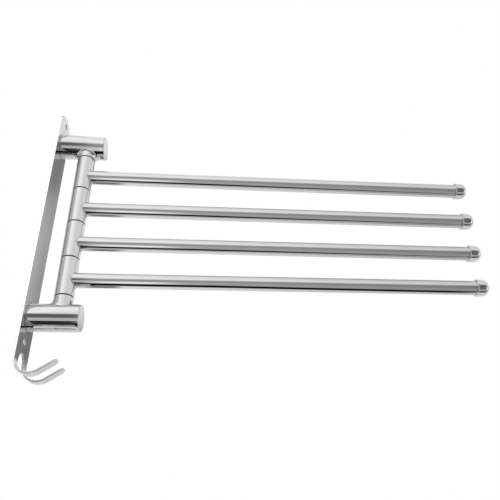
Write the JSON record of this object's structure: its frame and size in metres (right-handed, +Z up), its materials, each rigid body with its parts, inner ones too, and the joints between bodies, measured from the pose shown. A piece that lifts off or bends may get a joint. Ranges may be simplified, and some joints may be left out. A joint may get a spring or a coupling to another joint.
{
  "type": "swivel towel rack",
  "caption": "Wall-mounted polished steel swivel towel rack: straight bars turn one above another on a vertical shaft held by posts on a wall plate that ends in a hook.",
  "frame": {"origin": "midway between the two wall screw holes, on the back face of the wall plate", "axes": "+X along the wall, +Y into the wall, +Z up; the bars point along -Y at rest"},
  "size_m": [0.034, 0.4099, 0.2658],
  "materials": {
    "polished_steel": "polished",
    "plate_steel": "satin",
    "screw_steel": "satin",
    "shaft_steel": "satin",
    "nylon": "matte"
  },
  "bodies": {
    "frame": {"back_plate": "plate_steel", "upper_post": "polished_steel", "lower_post": "polished_steel", "upper_post_screw": "screw_steel", "lower_post_screw": "screw_steel", "pivot_shaft": "shaft_steel", "washer_1": "nylon", "washer_2": "nylon", "washer_3": "nylon", "washer_4": "nylon", "washer_5": "nylon"},
    "arm_1": {"sleeve_1": "polished_steel", "upper_bush_1": "nylon", "lower_bush_1": "nylon", "bar_1": "polished_steel", "end_cap_1": "polished_steel"},
    "arm_2": {"sleeve_2": "polished_steel", "upper_bush_2": "nylon", "lower_bush_2": "nylon", "bar_2": "polished_steel", "end_cap_2": "polished_steel"},
    "arm_3": {"sleeve_3": "polished_steel", "upper_bush_3": "nylon", "lower_bush_3": "nylon", "bar_3": "polished_steel", "end_cap_3": "polished_steel"},
    "arm_4": {"sleeve_4": "polished_steel", "upper_bush_4": "nylon", "lower_bush_4": "nylon", "bar_4": "polished_steel", "end_cap_4": "polished_steel"}
  },
  "joints": [
    {"name": "arm_1_swing", "type": "hinge", "parent": "frame", "child": "arm_1", "pos_m": [0, -0.0266, 0.0519], "axis": [0, 0, 1], "range_deg": [-90, 90]},
    {"name": "arm_2_swing", "type": "hinge", "parent": "frame", "child": "arm_2", "pos_m": [0, -0.0266, 0.0155], "axis": [0, 0, 1], "range_deg": [-90, 90]},
    {"name": "arm_3_swing", "type": "hinge", "parent": "frame", "child": "arm_3", "pos_m": [0, -0.0266, -0.0209], "axis": [0, 0, 1], "range_deg": [-90, 90]},
    {"name": "arm_4_swing", "type": "hinge", "parent": "frame", "child": "arm_4", "pos_m": [0, -0.0266, -0.0573], "axis": [0, 0, 1], "range_deg": [-90, 90]}
  ]
}
